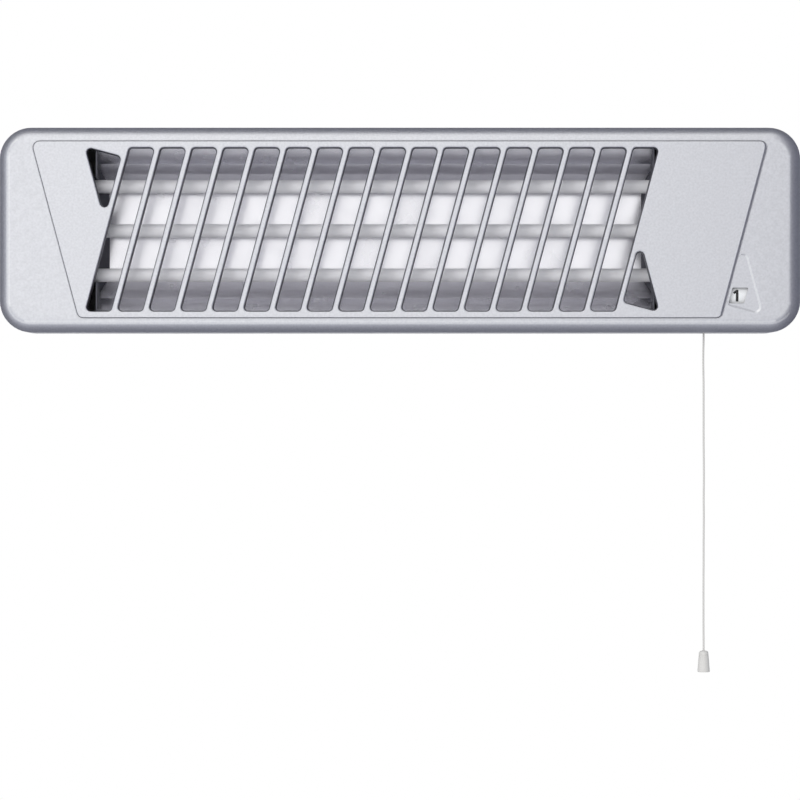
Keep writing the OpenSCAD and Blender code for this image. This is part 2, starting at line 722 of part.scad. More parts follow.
// End frame: folded sheet that shuts the trough's end and holds the ceramic caps. The tubes lie
// in its U-shaped slots, and behind them a cheek slopes inward to the trough's flat back.
module end_frame() color(dark) {
    t = end_frame_t;
    cheek_back = flat_y - cheek_gap;
    cheek_front = tube_y + tube_d / 2 + clear;
    trough = [[lip_y + t, mouth_hz - 1.5 * cheek_gap], [knee_y, knee_hz - cheek_gap],
              [cheek_back, flat_hz - cheek_gap]];
    difference() {
        union() {
            along_x(0, t) polygon([
                [lip_y, mouth_hz + 2.5], [flat_back_y, frame_hz],
                [flat_back_y, -frame_hz], [lip_y, -mouth_hz - 2.5]]);
            intersection() {
                along_x(-cheek_in, t) polygon(concat(trough, below(trough)));
                along_z(-mouth_hz, mouth_hz) polygon([
                    [t / 2, cheek_front], [0, cheek_front], [-cheek_in, cheek_back],
                    [t - cheek_in, cheek_back], [t / 2, cheek_front + 1.5 * t]]);
            }
            block(0, frame_out + t, flat_back_y - t, flat_back_y, -frame_hz, frame_hz);
            block(frame_out, frame_out + t, tube_y - cap_d / 2 - 2, flat_back_y, -frame_hz, frame_hz);
            for (q = [-1, 1])
                block(0, frame_screw_out + 5, lip_y, lip_y + t,
                    q > 0 ? mouth_hz + 1.5 : -lip_hz, q > 0 ? lip_hz : -mouth_hz - 1.5);
        }
        for (z = tube_zs) {
            rod_x(tube_y, z, tube_d / 2 + clear, -eps, t + eps);
            block(-eps, t + eps, lip_y - eps, tube_y, z - tube_d / 2 - clear, z + tube_d / 2 + clear);
            rod_x(tube_y, z, neck_r + slack, frame_out - eps, frame_out + t + eps);
        }
        for (q = [-1, 1])
            rod_y(frame_screw_out, q * lip_screw_z, screw_r + 0.2, lip_y - eps, lip_y + t + eps);
    }
}

module at_right() translate([reflector_x1, 0, 0]) children();
module at_left() translate([reflector_x0, 0, 0]) mirror([1, 0, 0]) children();
module end_frame_right() at_right() end_frame();
module end_frame_left() at_left() end_frame();

module reflector_screws() color(sheet) {
    reach = lip_y - face_in_y + 1;
    for (x = lip_screw_xs, q = [-1, 1])
        screw_to_front(x, q * lip_screw_z, lip_y + reflector_t, reach + reflector_t);
    for (x = [reflector_x0 - frame_screw_out, reflector_x1 + frame_screw_out], q = [-1, 1])
        screw_to_front(x, q * lip_screw_z, lip_y + end_frame_t, reach + end_frame_t);
}

// Quartz tubes with their heating coils, held in ceramic caps
module quartz_tube(z) color([0.93, 0.93, 0.94]) difference() {
    x0 = reflector_x0 - tube_over - cap_grip;
    x1 = reflector_x1 + tube_over + cap_grip;
    rod_x(tube_y, z, tube_d / 2, x0, x1);
    rod_x(tube_y, z, tube_d / 2 - tube_wall, x0 - eps, x1 + eps);
}

module quartz_tube_top() quartz_tube(tube_zs[0]);
module quartz_tube_middle() quartz_tube(tube_zs[1]);
module quartz_tube_bottom() quartz_tube(tube_zs[2]);

module heating_coil(z) color([0.45, 0.42, 0.40])
    rod_x(tube_y, z, coil_d / 2, reflector_x0 - pin_start, reflector_x1 + pin_start);

module heating_coil_top() heating_coil(tube_zs[0]);
module heating_coil_middle() heating_coil(tube_zs[1]);
module heating_coil_bottom() heating_coil(tube_zs[2]);

module ceramic_caps() color(ivory) for (z = tube_zs) difference() {
    union() {
        rod_x(tube_y, z, cap_d / 2, tube_over, tube_over + cap_len);
        rod_x(tube_y, z, neck_r, tube_over + cap_len - 0.5, tube_over + cap_len + neck_len);
    }
    rod_x(tube_y, z, tube_d / 2 + slack / 2, tube_over - eps, tube_over + cap_grip);
    rod_x(tube_y, z, pin_d / 2 + slack / 2, tube_over, tube_over + cap_len + neck_len + eps);
}

module ceramic_caps_right() at_right() ceramic_caps();
module ceramic_caps_left() at_left() ceramic_caps();

module spring_washer_set() for (z = tube_zs) difference() {
    rod_x(tube_y, z, cap_d / 2 - 0.6, frame_out - washer_t, frame_out);
    rod_x(tube_y, z, neck_r + slack, frame_out - washer_t - eps, frame_out + eps);
}

module cap_spring_washers() color(sheet) {
    at_right() spring_washer_set();
    at_left() spring_washer_set();
}

module terminal_pins() color(brass)
    for (z = tube_zs) rod_x(tube_y, z, pin_d / 2, pin_start, pin_end);

module terminal_pins_right() at_right() terminal_pins();
module terminal_pins_left() at_left() terminal_pins();

// Common link: a brass strip that joins the three left-hand pins
module common_link() color(brass) difference() {
    block(link_x, link_x + 0.8, tube_y - 4, tube_y + 4, -tube_pitch - 5, tube_pitch + 5);
    for (z = tube_zs) rod_x(tube_y, z, pin_d / 2 + slack / 2, link_x - eps, link_x + 0.8 + eps);
}

// Heat shield between the reflector and the rear housing
module heat_shield() color(sheet) difference() {
    along_y(shield_y, shield_back_y) translate([(reflector_x0 + reflector_x1) / 2, 0])
        round_rect(reflector_x1 - reflector_x0 - 8, 2 * shield_hz, 6);
    for (p = shield_post_at) rod_y(p[0], p[1], screw_r + 0.2, shield_y - eps, shield_back_y + eps);
}

// Screws of one size that hold the heat shield and the cable clamp
module small_screws() color(sheet) {
    for (p = shield_post_at) {
        rod_y(p[0], p[1], screw_r, shield_y - 0.2, shield_y + shield_screw_len);
        rod_y(p[0], p[1], head_r, shield_y - head_h, shield_y);
    }
    for (s = [-1, 1]) {
        x = block_x + s * clamp_span / 2;
        rod_y(x, clamp_z, screw_r, rear_in_y - 8.2, rear_in_y - 8 + clamp_screw_len);
        rod_y(x, clamp_z, head_r, rear_in_y - 8 - head_h, rear_in_y - 8);
    }
}

module thermal_cutout() color(ivory) {
    rod_y(cutout_x, cutout_z, 8, shield_back_y, cutout_y1);
    for (s = [-1, 1])
        block(cutout_x + s * 5 - 0.4, cutout_x + s * 5 + 0.4, cutout_y1 - 0.5, tag_y1,
            cutout_z - 2.5, cutout_z + 2.5);
}

// Terminal block for the supply, and the clamp for the supply lead
module terminal_block() color(ivory) difference() {
    block(block_x - block_w / 2, block_x + block_w / 2, rear_in_y - 2 - block_d, rear_in_y - 2,
        block_z - block_h / 2, block_z + block_h / 2);
    for (k = [-1, 0, 1]) {
        x = block_x + k * block_w / 3;
        translate([x, rear_in_y - 2 - block_d / 2, block_z - block_h / 2 - eps])
            cylinder(r = 1.6, h = 2 * eps + block_h);
        for (q = [-1, 1])
            rod_y(x, block_z + q * block_h / 4, 1.7, rear_in_y - 2 - block_d - eps, rear_in_y - 2 - block_d / 2);
    }
}

module cable_clamp() color(dark) difference() {
    block(block_x - clamp_span / 2 - 5, block_x + clamp_span / 2 + 5, rear_in_y - 8, rear_in_y - 5,
        clamp_z - 4, clamp_z + 4);
    for (s = [-1, 1])
        rod_y(block_x + s * clamp_span / 2, clamp_z, screw_r + 0.2, rear_in_y - 8 - eps, rear_in_y - 5 + eps);
}

module cable_grommet() color(dark) difference() {
    union() {
        rod_y(grommet_x, grommet_z, grommet_r, rear_in_y - 1, back_y + 1);
        rod_y(grommet_x, grommet_z, grommet_r + 1.8, back_y, back_y + 1.5);
        rod_y(grommet_x, grommet_z, grommet_r + 1.8, rear_in_y - 1.5, rear_in_y);
    }
    rod_y(grommet_x, grommet_z, 3.7, rear_in_y - 2 - eps, back_y + 2 + eps);
}

// Inner wiring, each lead along its own route
pin_tip = [reflector_x1 + pin_end, tube_y, 0];
block_tail = [block_x, rear_in_y - 2 - block_d / 2, block_z + block_h / 2];

module stage_lead(k, paint) color(paint) sweep([
    pin_tip + [0, 0, tube_zs[k]],
    pin_tip + [2, 0, tube_zs[k]],
    pin_tip + [4, 4, max(tube_zs[k] - 2, base_z1 + 6)],
    [cord_x + 10 + 4 * k, base_y + 13 - 3 * k, base_z1 + 17 - 5 * k],
    [contact_xs[k], base_y + 13 - 3 * k, shaft_z + 16],
    [contact_xs[k], blade_end_y + 5, shaft_z + 4],
    [contact_xs[k], blade_end_y + 3, shaft_z + 1],
    [contact_xs[k], blade_end_y + 0.2, shaft_z + 1]
], lead_r, 8);

module lead_stage_1() stage_lead(0, [0.75, 0.15, 0.12]);
module lead_stage_2() stage_lead(1, [0.15, 0.15, 0.17]);
module lead_stage_3() stage_lead(2, [0.85, 0.80, 0.75]);

module lead_common() color([0.12, 0.25, 0.60]) sweep([
    [link_x, tube_y + 2, tube_pitch / 2],
    [link_x - 2, tube_y + 2, tube_pitch / 2],
    [link_x - 3, tube_y + 12, tube_pitch / 2 - 2],
    [link_x, back_run_y - 4, 0],
    [link_x + 14, back_run_y, -low_lane_z],
    [cutout_x - 30, back_run_y, -low_lane_z],
    [cutout_x - 8, back_run_y + 1, -8],
    [cutout_x - 5, tag_y1 + 0.2 + lead_r, cutout_z - 3]
], lead_r, 8);

module lead_neutral() color([0.12, 0.25, 0.60]) sweep([
    [cutout_x + 5, tag_y1 + 0.2 + lead_r, cutout_z + 3],
    [cutout_x + 2, back_run_y + 1, low_lane_z - 6],
    [cutout_x - 16, back_run_y, low_lane_z],
    [block_x + 60, back_run_y, low_lane_z],
    [block_x + block_w / 3 + 6, back_run_y + 1, block_z + block_h / 2 + 7],
    block_tail + [block_w / 3, 0, 1]
], lead_r, 8);

module lead_feed() color([0.45, 0.28, 0.15]) sweep([
    block_tail + [0, 0, 1],
    block_tail + [2, 0, 12],
    [block_x + 50, back_run_y, high_lane_z],
    [cutout_x, back_run_y, high_lane_z],
    [reflector_x1 + 12, back_run_y, low_lane_z],
    [switch_x0, base_y + 11, 0],
    [switch_x1 - 2, base_y + 7, shaft_z + switch_hs + 8],
    [switch_x1 - 2, shaft_y, shaft_z + switch_hs + 5],
    [switch_x1 - 2, shaft_y - 3, shaft_z + switch_hs + 3],
    [switch_x1 - 2, shaft_y - 3, shaft_z + switch_hs + 0.2]
], lead_r, 8);

module lead_earth() color([0.35, 0.60, 0.20]) sweep([
    block_tail + [-block_w / 3, 0, 1],
    block_tail + [-block_w / 3 + 2, 0, 6],
    block_tail + [0, -3, 10],
    [block_x + 36, back_run_y, 20],
    [reflector_x0 + 14, shield_back_y + 4, 6],
    [reflector_x0 + 14, shield_back_y + 3, 4],
    [reflector_x0 + 14, shield_back_y + 0.2, 4]
], lead_r, 8);

// Window lens, pushed into the bezel from inside
module window_lens() color([0.9, 0.92, 0.94]) {
    along_y(front_y + facet_d + 0.2, face_in_y + 0.2) rounded(window_pts(0), 0.9);
    along_y(face_in_y, face_in_y + lens_flange) rounded(window_pts(1.2), 2);
}

// Switch frame: a folded sheet with an arm at each end of the drum
module switch_frame() color(sheet) difference() {
    union() {
        block(arm_left_x - frame_t, arm_right_x + frame_t, base_y, base_y + frame_t, -half_h + wall + 1, base_z1);
        block(base_x0, arm_left_x, base_y, base_y + frame_t, -half_h + wall + 1, -half_h + wall + 9.5);
        for (x = [arm_left_x - frame_t, arm_right_x]) {
            block(x, x + frame_t, shaft_y, base_y + frame_t / 2, shaft_z - arm_r, shaft_z + arm_r);
            rod_x(shaft_y, shaft_z, arm_r, x, x + frame_t);
        }
    }
    for (p = frame_screw_at) rod_y(p[0], p[1], screw_r + 0.2, base_y - eps, base_y + frame_t + eps);
    rod_x(shaft_y, shaft_z, shaft_r + run_fit, arm_left_x - frame_t - eps, arm_right_x + frame_t + eps);
}

module switch_frame_screws() color(sheet)
    for (p = frame_screw_at) screw_to_front(p[0], p[1], base_y + frame_t, frame_screw_len);

// Switch body, its cover, and the contacts that the cam lifts
module switch_body() color(dark) difference() {
    block(switch_x0, switch_x1, shaft_y - switch_hs, shaft_y + switch_hs, shaft_z - switch_hs, shaft_z + switch_hs);
    block(switch_x0 + switch_wall, switch_x1 + eps, shaft_y - switch_hs + switch_wall,
        shaft_y + switch_hs - switch_wall, shaft_z - switch_hs + switch_wall, shaft_z + switch_hs - switch_wall);
    rod_x(shaft_y, shaft_z, shaft_r + run_fit, switch_x0 - eps, switch_x0 + switch_wall + eps);
    for (x = contact_xs)
        block(x - 0.6, x + 0.6, shaft_y, shaft_y + switch_hs + eps, shaft_z - 3.2, shaft_z + 3.2);
}

module switch_cover() color(dark) difference() {
    block(switch_x1, switch_x1 + cover_t, shaft_y - switch_hs, shaft_y + switch_hs,
        shaft_z - switch_hs, shaft_z + switch_hs);
    rod_x(shaft_y, shaft_z, shaft_r + run_fit, switch_x1 - eps, switch_x1 + cover_t + eps);
}

module switch_contacts() color(brass) for (x = contact_xs) {
    block(x - 0.4, x + 0.4, shaft_y + cam_r + 0.3, blade_end_y, shaft_z - 3, shaft_z + 3);
    block(x - 1.2, x + 1.2, shaft_y + cam_r + 0.3, shaft_y + cam_r + 0.9, shaft_z - 3, shaft_z + 8);
}

// Selector shaft with its cam, ratchet wheel and indicator drum
module selector_shaft() color(sheet)
    rod_x(shaft_y, shaft_z, shaft_r, arm_left_x - frame_t - 1, switch_x1 + cover_t + 1);

module switch_cam() color(ivory) difference() {
    union() {
        for (k = [0, 1, 2]) {
            x = contact_xs[k];
            rod_x(shaft_y, shaft_z, cam_r - 2, x - 1.6, x + 1.6);
            intersection() {
                rod_x(shaft_y, shaft_z, cam_r, x - 1.2, x + 1.2);
                translate([0, shaft_y, shaft_z]) rotate([-90 * (k + 1), 0, 0])
                    block(x - 2, x + 2, 0, 2 * cam_r, 0, 2 * cam_r);
            }
        }
        rod_x(shaft_y, shaft_z, cam_r - 2.5, switch_x0 + switch_wall + 0.3, switch_x1 - 0.3);
    }
    rod_x(shaft_y, shaft_z, shaft_r + slack / 2, switch_x0, switch_x1);
}

module ratchet_wheel() color(ivory) difference() {
    translate([0, shaft_y, shaft_z]) along_x(ratchet_x, ratchet_x + ratchet_w)
        polygon([for (q = [0, 90, 180, 270], c = [[0, 1], [3, 0.66], [45, 0.74]])
            ratchet_r * c[1] * [cos(q + c[0]), sin(q + c[0])]]);
    rod_x(shaft_y, shaft_z, shaft_r + slack / 2, ratchet_x - eps, ratchet_x + ratchet_w + eps);
}

module indicator_drum() color([0.95, 0.95, 0.95]) difference() {
    rod_x(shaft_y, shaft_z, drum_r, drum_x0, drum_x1);
    difference() {
        rod_x(shaft_y, shaft_z, drum_r - 1.4, drum_x0 + 1.6, drum_x1 + eps);
        rod_x(shaft_y, shaft_z, shaft_r + 1.6, drum_x0, drum_x1 - 0.4);
    }
    rod_x(shaft_y, shaft_z, shaft_r + slack / 2, drum_x0 - eps, drum_x1 + eps);
}

// Cord pulley, loose on the shaft, with the pawl that turns the ratchet wheel
module cord_pulley() color(ivory) {
    x0 = cord_x - pulley_w / 2;
    difference() {
        rod_x(shaft_y, shaft_z, flange_r, x0, x0 + pulley_w);
        difference() {
            rod_x(shaft_y, shaft_z, flange_r + eps, cord_x - cord_d / 2 - 0.4, cord_x + cord_d / 2 + 0.4);
            rod_x(shaft_y, shaft_z, pulley_r - cord_d / 2 - 0.1, x0, x0 + pulley_w);
        }
        rod_x(shaft_y, shaft_z, shaft_r + run_fit, x0 - eps, x0 + pulley_w + eps);
    }
    translate([0, shaft_y, shaft_z]) rotate([60, 0, 0])
        block(x0 + pulley_w - 0.5, ratchet_x + ratchet_w - 0.5, ratchet_r + 0.5, flange_r - 0.2, -2, 2);
}

module cord_wrap() color([0.9, 0.9, 0.88])
    translate([cord_x, shaft_y, shaft_z]) rotate([90, 0, 90]) rotate([0, 0, 4])
        rotate_extrude(angle = 150) translate([pulley_r, 0]) circle(d = cord_d, $fn = 16);

// Return spring: a flat clock spring beside the pulley, drawn as its closed coil
module return_spring() color(sheet) difference() {
    rod_x(shaft_y, shaft_z, pulley_r - 0.5, arm_left_x + 0.3, arm_left_x + 0.3 + spring_w - 0.3);
    rod_x(shaft_y, shaft_z, shaft_r + 0.5, arm_left_x, arm_left_x + spring_w + 1);
}

// Cord bush in the body's lower wall
module cord_bush() color(silver) translate([cord_x, cord_y, 0]) difference() {
    union() {
        along_z(exit_z, -half_h + wall + 0.2) circle(r = bush_r);
        along_z(-half_h + wall, -half_h + wall + 1.2) circle(r = bush_r + 0.9);
    }
    along_z(exit_z - eps, -half_h + wall + 1.2 + eps) circle(r = cord_hole_r);
}

// The cord: a straight inner length, then the free length with its knob
module cord_lead() color([0.9, 0.9, 0.88])
    translate([cord_x, cord_y, 0]) along_z(swing_z + 0.35, shaft_z - 0.4) circle(d = cord_d, $fn = 16);

module pull_cord() color([0.9, 0.9, 0.88])
    sweep([for (p = cord_steps) p + [cord_x, cord_y, exit_z]], cord_d / 2, 8);

module cord_knot() color([0.9, 0.9, 0.88])
    translate([cord_x, cord_y, knob_z1 - knob_neck_t - knot_r - 0.1]) sphere(r = knot_r, $fn = 24);

module pull_knob() color([0.92, 0.92, 0.93]) translate([cord_x, cord_y, knob_z1 - knob_h]) {
    top = knob_top_d / 2;
    low = knob_d / 2;
    wall_k = 0.9;
    neck = knob_h - knob_neck_t;
    rotate_extrude() polygon([
        [low - wall_k, 0], [low - 0.2, 0], [low, 0.3], [low - 0.1, knob_h * 0.3],
        [top + 0.35, knob_h * 0.7], [top, knob_h - 1], [top - 0.9, knob_h - 0.1],
        [top - 1.3, knob_h], [cord_d / 2 + 0.1, knob_h], [cord_d / 2 + 0.1, neck],
        [knot_r + 0.4, neck], [knot_r + 0.5, neck - 4], [low - wall_k - 0.3, knob_h * 0.3]
    ]);
}

wall_bracket();
friction_washers();
pivot_ear_left();
pivot_ear_right();
pivot_screws();
ear_screws();
rear_housing();
housing_gasket();
front_housing();
housing_screws();
grille_panel();
panel_screws();
reflector();
end_frame_left();
end_frame_right();
reflector_screws();
quartz_tube_top();
quartz_tube_middle();
quartz_tube_bottom();
heating_coil_top();
heating_coil_middle();
heating_coil_bottom();
ceramic_caps_left();
ceramic_caps_right();
cap_spring_washers();
terminal_pins_left();
terminal_pins_right();
common_link();
heat_shield();
small_screws();
thermal_cutout();
terminal_block();
cable_clamp();
cable_grommet();
lead_stage_1();
lead_stage_2();
lead_stage_3();
lead_common();
lead_neutral();
lead_feed();
lead_earth();
window_lens();
switch_frame();
switch_frame_screws();
switch_body();
switch_cover();
switch_contacts();
selector_shaft();
switch_cam();
ratchet_wheel();
indicator_drum();
cord_pulley();
cord_wrap();
return_spring();
cord_bush();
cord_lead();
pull_cord();
cord_knot();
pull_knob();
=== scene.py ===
# Quartz heater for a bathroom wall: three tubes behind a leaning grille, a tilting bracket
# and a pull cord that steps the heat from 0 to 3. The front faces -Y, the wall is y = 0.
import math

import bmesh
import bpy
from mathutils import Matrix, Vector


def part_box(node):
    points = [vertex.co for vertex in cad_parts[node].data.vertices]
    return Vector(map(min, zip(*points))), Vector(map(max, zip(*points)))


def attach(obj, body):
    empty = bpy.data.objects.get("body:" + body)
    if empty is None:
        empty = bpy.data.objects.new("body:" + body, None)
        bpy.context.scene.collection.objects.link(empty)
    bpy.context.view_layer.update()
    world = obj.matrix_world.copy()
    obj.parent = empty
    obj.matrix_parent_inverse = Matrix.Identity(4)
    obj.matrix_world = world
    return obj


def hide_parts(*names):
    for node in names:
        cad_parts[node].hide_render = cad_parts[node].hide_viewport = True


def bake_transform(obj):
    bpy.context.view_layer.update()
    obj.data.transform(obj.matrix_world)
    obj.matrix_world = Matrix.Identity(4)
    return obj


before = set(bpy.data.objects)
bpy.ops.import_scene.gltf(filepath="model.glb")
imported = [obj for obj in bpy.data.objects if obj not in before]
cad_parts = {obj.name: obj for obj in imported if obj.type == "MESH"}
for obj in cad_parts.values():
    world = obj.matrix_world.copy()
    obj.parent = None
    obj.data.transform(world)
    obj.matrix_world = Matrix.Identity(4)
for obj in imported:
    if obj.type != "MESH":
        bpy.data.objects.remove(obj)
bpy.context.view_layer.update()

# Camera: level, straight in front of the heater and a little below it, 2.4 m before the
# bezel's face, where the picture spans 591 mm.
front_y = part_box("front_housing")[0].y
view_distance = 2.4
view_span = 0.5914
view_height = -0.1261
film_width = 36
bpy.ops.object.select_all(action="DESELECT")
bpy.ops.object.camera_add(
    location=(0, front_y - view_distance, view_height), rotation=(math.pi / 2, 0, 0)
)
camera = bpy.context.object
camera.data.sensor_width = film_width
camera.data.lens = film_width * view_distance / view_span
camera.data.clip_end = 60
bpy.context.scene.camera = camera
bpy.context.scene.view_settings.view_transform = "Standard"


# Room: an even fill from all sides that looks white in the picture and in mirrors, a pale
# floor far below, and one soft lamp before the heater, at its upper left.
class Value:
    """A number that changes over a surface. Maths on it adds the Math nodes."""

    def __init__(self, nodes, socket):
        self.nodes = nodes
        self.socket = socket

    def math(self, operation, other):
        return self.nodes.add("ShaderNodeMath", {"operation": operation}, {0: self, 1: other})["Value"]

    def __mul__(self, other):
        return self.math("MULTIPLY", other)

    def __or__(self, other):
        return self.math("MAXIMUM", other)

    __rmul__ = __mul__
    __ror__ = __or__


class Nodes:
    """The shader nodes of the room's light, or of one finish."""

    def __init__(self, tree):
        self.tree = tree

    def feed(self, socket, value):
        if isinstance(value, Value):
            self.tree.links.new(value.socket, socket)
        else:
            socket.default_value = value

    def add(self, kind, settings, sockets):
        """Adds a node: first its settings, then the values or links of its sockets."""
        node = self.tree.nodes.new(kind)
        for key, value in settings.items():
            if key == "stops":
                elements = node.color_ramp.elements
                while len(elements) < len(value):
                    elements.new(0.5)
                for element, (position, colour) in zip(elements, value):
                    element.position = position
                    element.color = colour
            else:
                setattr(node, key, value)
        for key, value in sockets.items():
            self.feed(node.inputs[key], value)
        return {output.name: Value(self, output) for output in node.outputs}


class Finish(Nodes):
    """One finish: a Principled shader and the few nodes that vary it over the piece.

    Sizes are in metres. A stretch below 1 draws a pattern out along that axis.
    """

    # The Wave node repeats after this length when its scale is 1.
    wave_length = 0.3142

    def __init__(self, name, colour, roughness, metallic=0.0, **sockets):
        self.material = bpy.data.materials.new(name)
        self.material.use_nodes = True
        super().__init__(self.material.node_tree)
        self.shader = self.tree.nodes["Principled BSDF"].inputs
        self.feed(self.shader["Base Color"], (*colour, 1))
        self.feed(self.shader["Roughness"], roughness)
        self.feed(self.shader["Metallic"], metallic)
        for key, value in sockets.items():
            self.feed(self.shader[key.replace("_", " ")], value)
        self.place = self.add("ShaderNodeTexCoord", {}, {})["Object"]
        self.normal = None

    def scaled(self, size, stretch=(1, 1, 1)):
        """The place on the piece, counted in sizes of the pattern."""
        scale = [part / size for part in stretch]
        return self.add("ShaderNodeMapping", {}, {"Vector": self.place, "Scale": scale})["Vector"]

    def noise(self, size, detail=2.0, stretch=(1, 1, 1)):
        sockets = {"Vector": self.scaled(size, stretch), "Scale": 1, "Detail": detail}
        return self.add("ShaderNodeTexNoise", {}, sockets)["Fac"]

    def cells(self, size):
        return self.add("ShaderNodeTexVoronoi", {}, {"Vector": self.scaled(size), "Scale": 1})["Distance"]

    def bands(self, size, direction):
        sockets = {"Vector": self.scaled(size / self.wave_length), "Scale": 1, "Distortion": 0}
        return self.add("ShaderNodeTexWave", {"bands_direction": direction}, sockets)["Fac"]

    def spread(self, value, low, high):
        """Widens a noise, most of which lies between 0.3 and 0.7, to run from low to high."""
        sockets = {"Value": value, "From Min": 0.3, "From Max": 0.7, "To Min": low, "To Max": high}
        return self.add("ShaderNodeMapRange", {}, sockets)["Result"]

    def colours(self, value, *tones):
        """The tones, one after the other, as value goes from 0 to 1."""
        stops = [(k / (len(tones) - 1), (*tone, 1)) for k, tone in enumerate(tones)]
        ramp = self.add("ShaderNodeValToRGB", {"stops": stops}, {"Fac": value})
        self.feed(self.shader["Base Color"], ramp["Color"])

    def gloss(self, value, low, high):
        """Varies the roughness between low and high."""
        self.feed(self.shader["Roughness"], self.spread(value, low, high))

    def relief(self, value, depth, strength=1.0):
        """Raises the surface by up to depth, on top of the relief that it has."""
        sockets = {"Distance": depth, "Strength": strength, "Height": value}
        if self.normal:
            sockets["Normal"] = self.normal
        self.normal = self.add("ShaderNodeBump", {}, sockets)["Normal"]
        self.feed(self.shader["Normal"], self.normal)
        return self


def grey(level, blue=0.0):
    return (level, level, level + blue)


world = bpy.data.worlds.new("studio")
bpy.context.scene.world = world
world.use_nodes = True
sky = Nodes(world.node_tree)
sky.tree.nodes.clear()
ray = sky.add("ShaderNodeLightPath", {}, {})
shown = ray["Is Camera Ray"] | ray["Is Glossy Ray"] | ray["Is Transmission Ray"]
fill = sky.add("ShaderNodeBackground", {}, {"Color": (0.92, 0.95, 1, 1), "Strength": 0.7})
backdrop = sky.add("ShaderNodeBackground", {}, {"Color": (1, 1, 1, 1), "Strength": 1.0})
daylight = sky.add(
    "ShaderNodeMixShader", {}, {"Fac": shown, 1: fill["Background"], 2: backdrop["Background"]}
)
sky.add("ShaderNodeOutputWorld", {}, {"Surface": daylight["Shader"]})

floor_z = -1.9
bpy.ops.object.select_all(action="DESELECT")
bpy.ops.mesh.primitive_plane_add(size=20, location=(0, 0, floor_z))
floor = bpy.context.object
floor.name = "floor"
floor_paint = Finish("floor_paint", grey(0.95), 0.9)
floor_paint.colours(floor_paint.noise(0.8, 2), grey(0.94), grey(0.96))
floor.data.materials.append(floor_paint.material)

lamp_place = Vector((-1.2, -2.8, 0.4))
lamp_aim = Vector((0, -0.1, 0))
bpy.ops.object.light_add(type="AREA", location=lamp_place)
lamp = bpy.context.object
lamp.name = "key_lamp"
lamp.data.shape = "RECTANGLE"
lamp.data.size = 1.8
lamp.data.size_y = 1.8
lamp.data.energy = 44
lamp.rotation_euler = (lamp_aim - lamp_place).to_track_quat("-Z", "Y").to_euler()
lamp.visible_camera = False
lamp.visible_glossy = False

# Boards: painted boards outside the picture that only the heater's metal mirrors. Dark ones
# round its sides and paler ones in front of them shade its rounded edges from dark to light.
board_thickness = 0.01
boards = [
    ("board_above", (0, 1.0, 0.95), (3.6, 3.0, 0), 0.04),
    ("board_below", (0, 1.0, -1.15), (3.6, 3.0, 0), 0.09),
    ("board_below_front", (0, -0.9, -1.15), (3.6, 0.8, 0), 0.32),
    ("board_below_edge", (0, -1.8, -1.15), (3.6, 1.0, 0), 0.6),
    ("board_left", (-1.35, 1.05, 0), (0, 3.0, 2.4), 0.04),
    ("board_left_front", (-1.35, -1.05, 0), (0, 1.2, 2.4), 0.55),
    ("board_right", (0.85, 0.45, 0), (0, 4.1, 2.4), 0.04),
    ("board_right_front", (0.85, -2.1, 0), (0, 1.0, 2.4), 0.3),
]
for name, place, size, tone in boards:
    bpy.ops.mesh.primitive_cube_add(size=1, location=place)
    board = bpy.context.object
    board.name = name
    board.scale = [max(side, board_thickness) for side in size]
    board.data.materials.append(Finish(name + "_paint", grey(tone, 0.04), 0.95).material)
    board.visible_camera = False
    board.visible_diffuse = False
    board.visible_shadow = False


# Wall bracket, pivot ears and switch frame: folded sheet steel, hot-dip zinc coated, with the
# zinc's faint spangle. The bracket is screwed to the wall, the ears to the rear housing.
def dress(finish, *names):
    """Gives the CAD nodes of these names their finish."""
    for name in names:
        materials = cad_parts[name].data.materials
        materials.clear()
        materials.append(finish.material)


zinc = Finish("zinc_steel", grey(0.62, 0.01), 0.36, metallic=1.0)
spangle = zinc.cells(0.007)
zinc.colours(spangle, grey(0.52, 0.01), grey(0.62, 0.01), grey(0.70, 0.01))
zinc.gloss(spangle, 0.30, 0.46)
zinc.relief(zinc.noise(0.002, 3), 0.00002)
dress(zinc, "wall_bracket", "pivot_ear_left", "pivot_ear_right", "switch_frame")

# Screws, spring washers, selector shaft and return spring: turned, stamped or wound steel,
# plated bright, with fine marks from the lathe.
plated = Finish("plated_steel", grey(0.68, 0.01), 0.3, metallic=1.0)
plated.colours(plated.noise(0.004, 3), (0.60, 0.60, 0.59), (0.74, 0.74, 0.76))
plated.gloss(plated.noise(0.0006, 2, (1, 0.2, 1)), 0.24, 0.42)
dress(plated, "pivot_screws", "ear_screws", "housing_screws", "panel_screws", "reflector_screws",
      "cap_spring_washers", "small_screws", "switch_frame_screws", "selector_shaft",
      "return_spring")

# Rear housing: a shell with vents, moulded in grey heat-resistant plastic with a matt grain.
# It is screwed to the front housing from behind.
grained = Finish("grained_plastic", grey(0.42), 0.55)
grained.colours(grained.noise(0.03, 3), grey(0.40), grey(0.44, 0.005))
grained.gloss(grained.noise(0.001, 2), 0.48, 0.62)
grained.relief(grained.cells(0.0008), 0.00004).relief(grained.noise(0.0025, 3), 0.00003)
dress(grained, "rear_housing")

# Housing gasket, cable grommet and friction washers: dull black rubber, moulded, and held
# between the pieces that they seal or brake.
rubber = Finish("black_rubber", grey(0.03), 0.8)
rubber.colours(rubber.noise(0.002, 3), grey(0.022), grey(0.040))
rubber.relief(rubber.noise(0.0004, 2), 0.00003)
dress(rubber, "housing_gasket", "cable_grommet", "friction_washers")

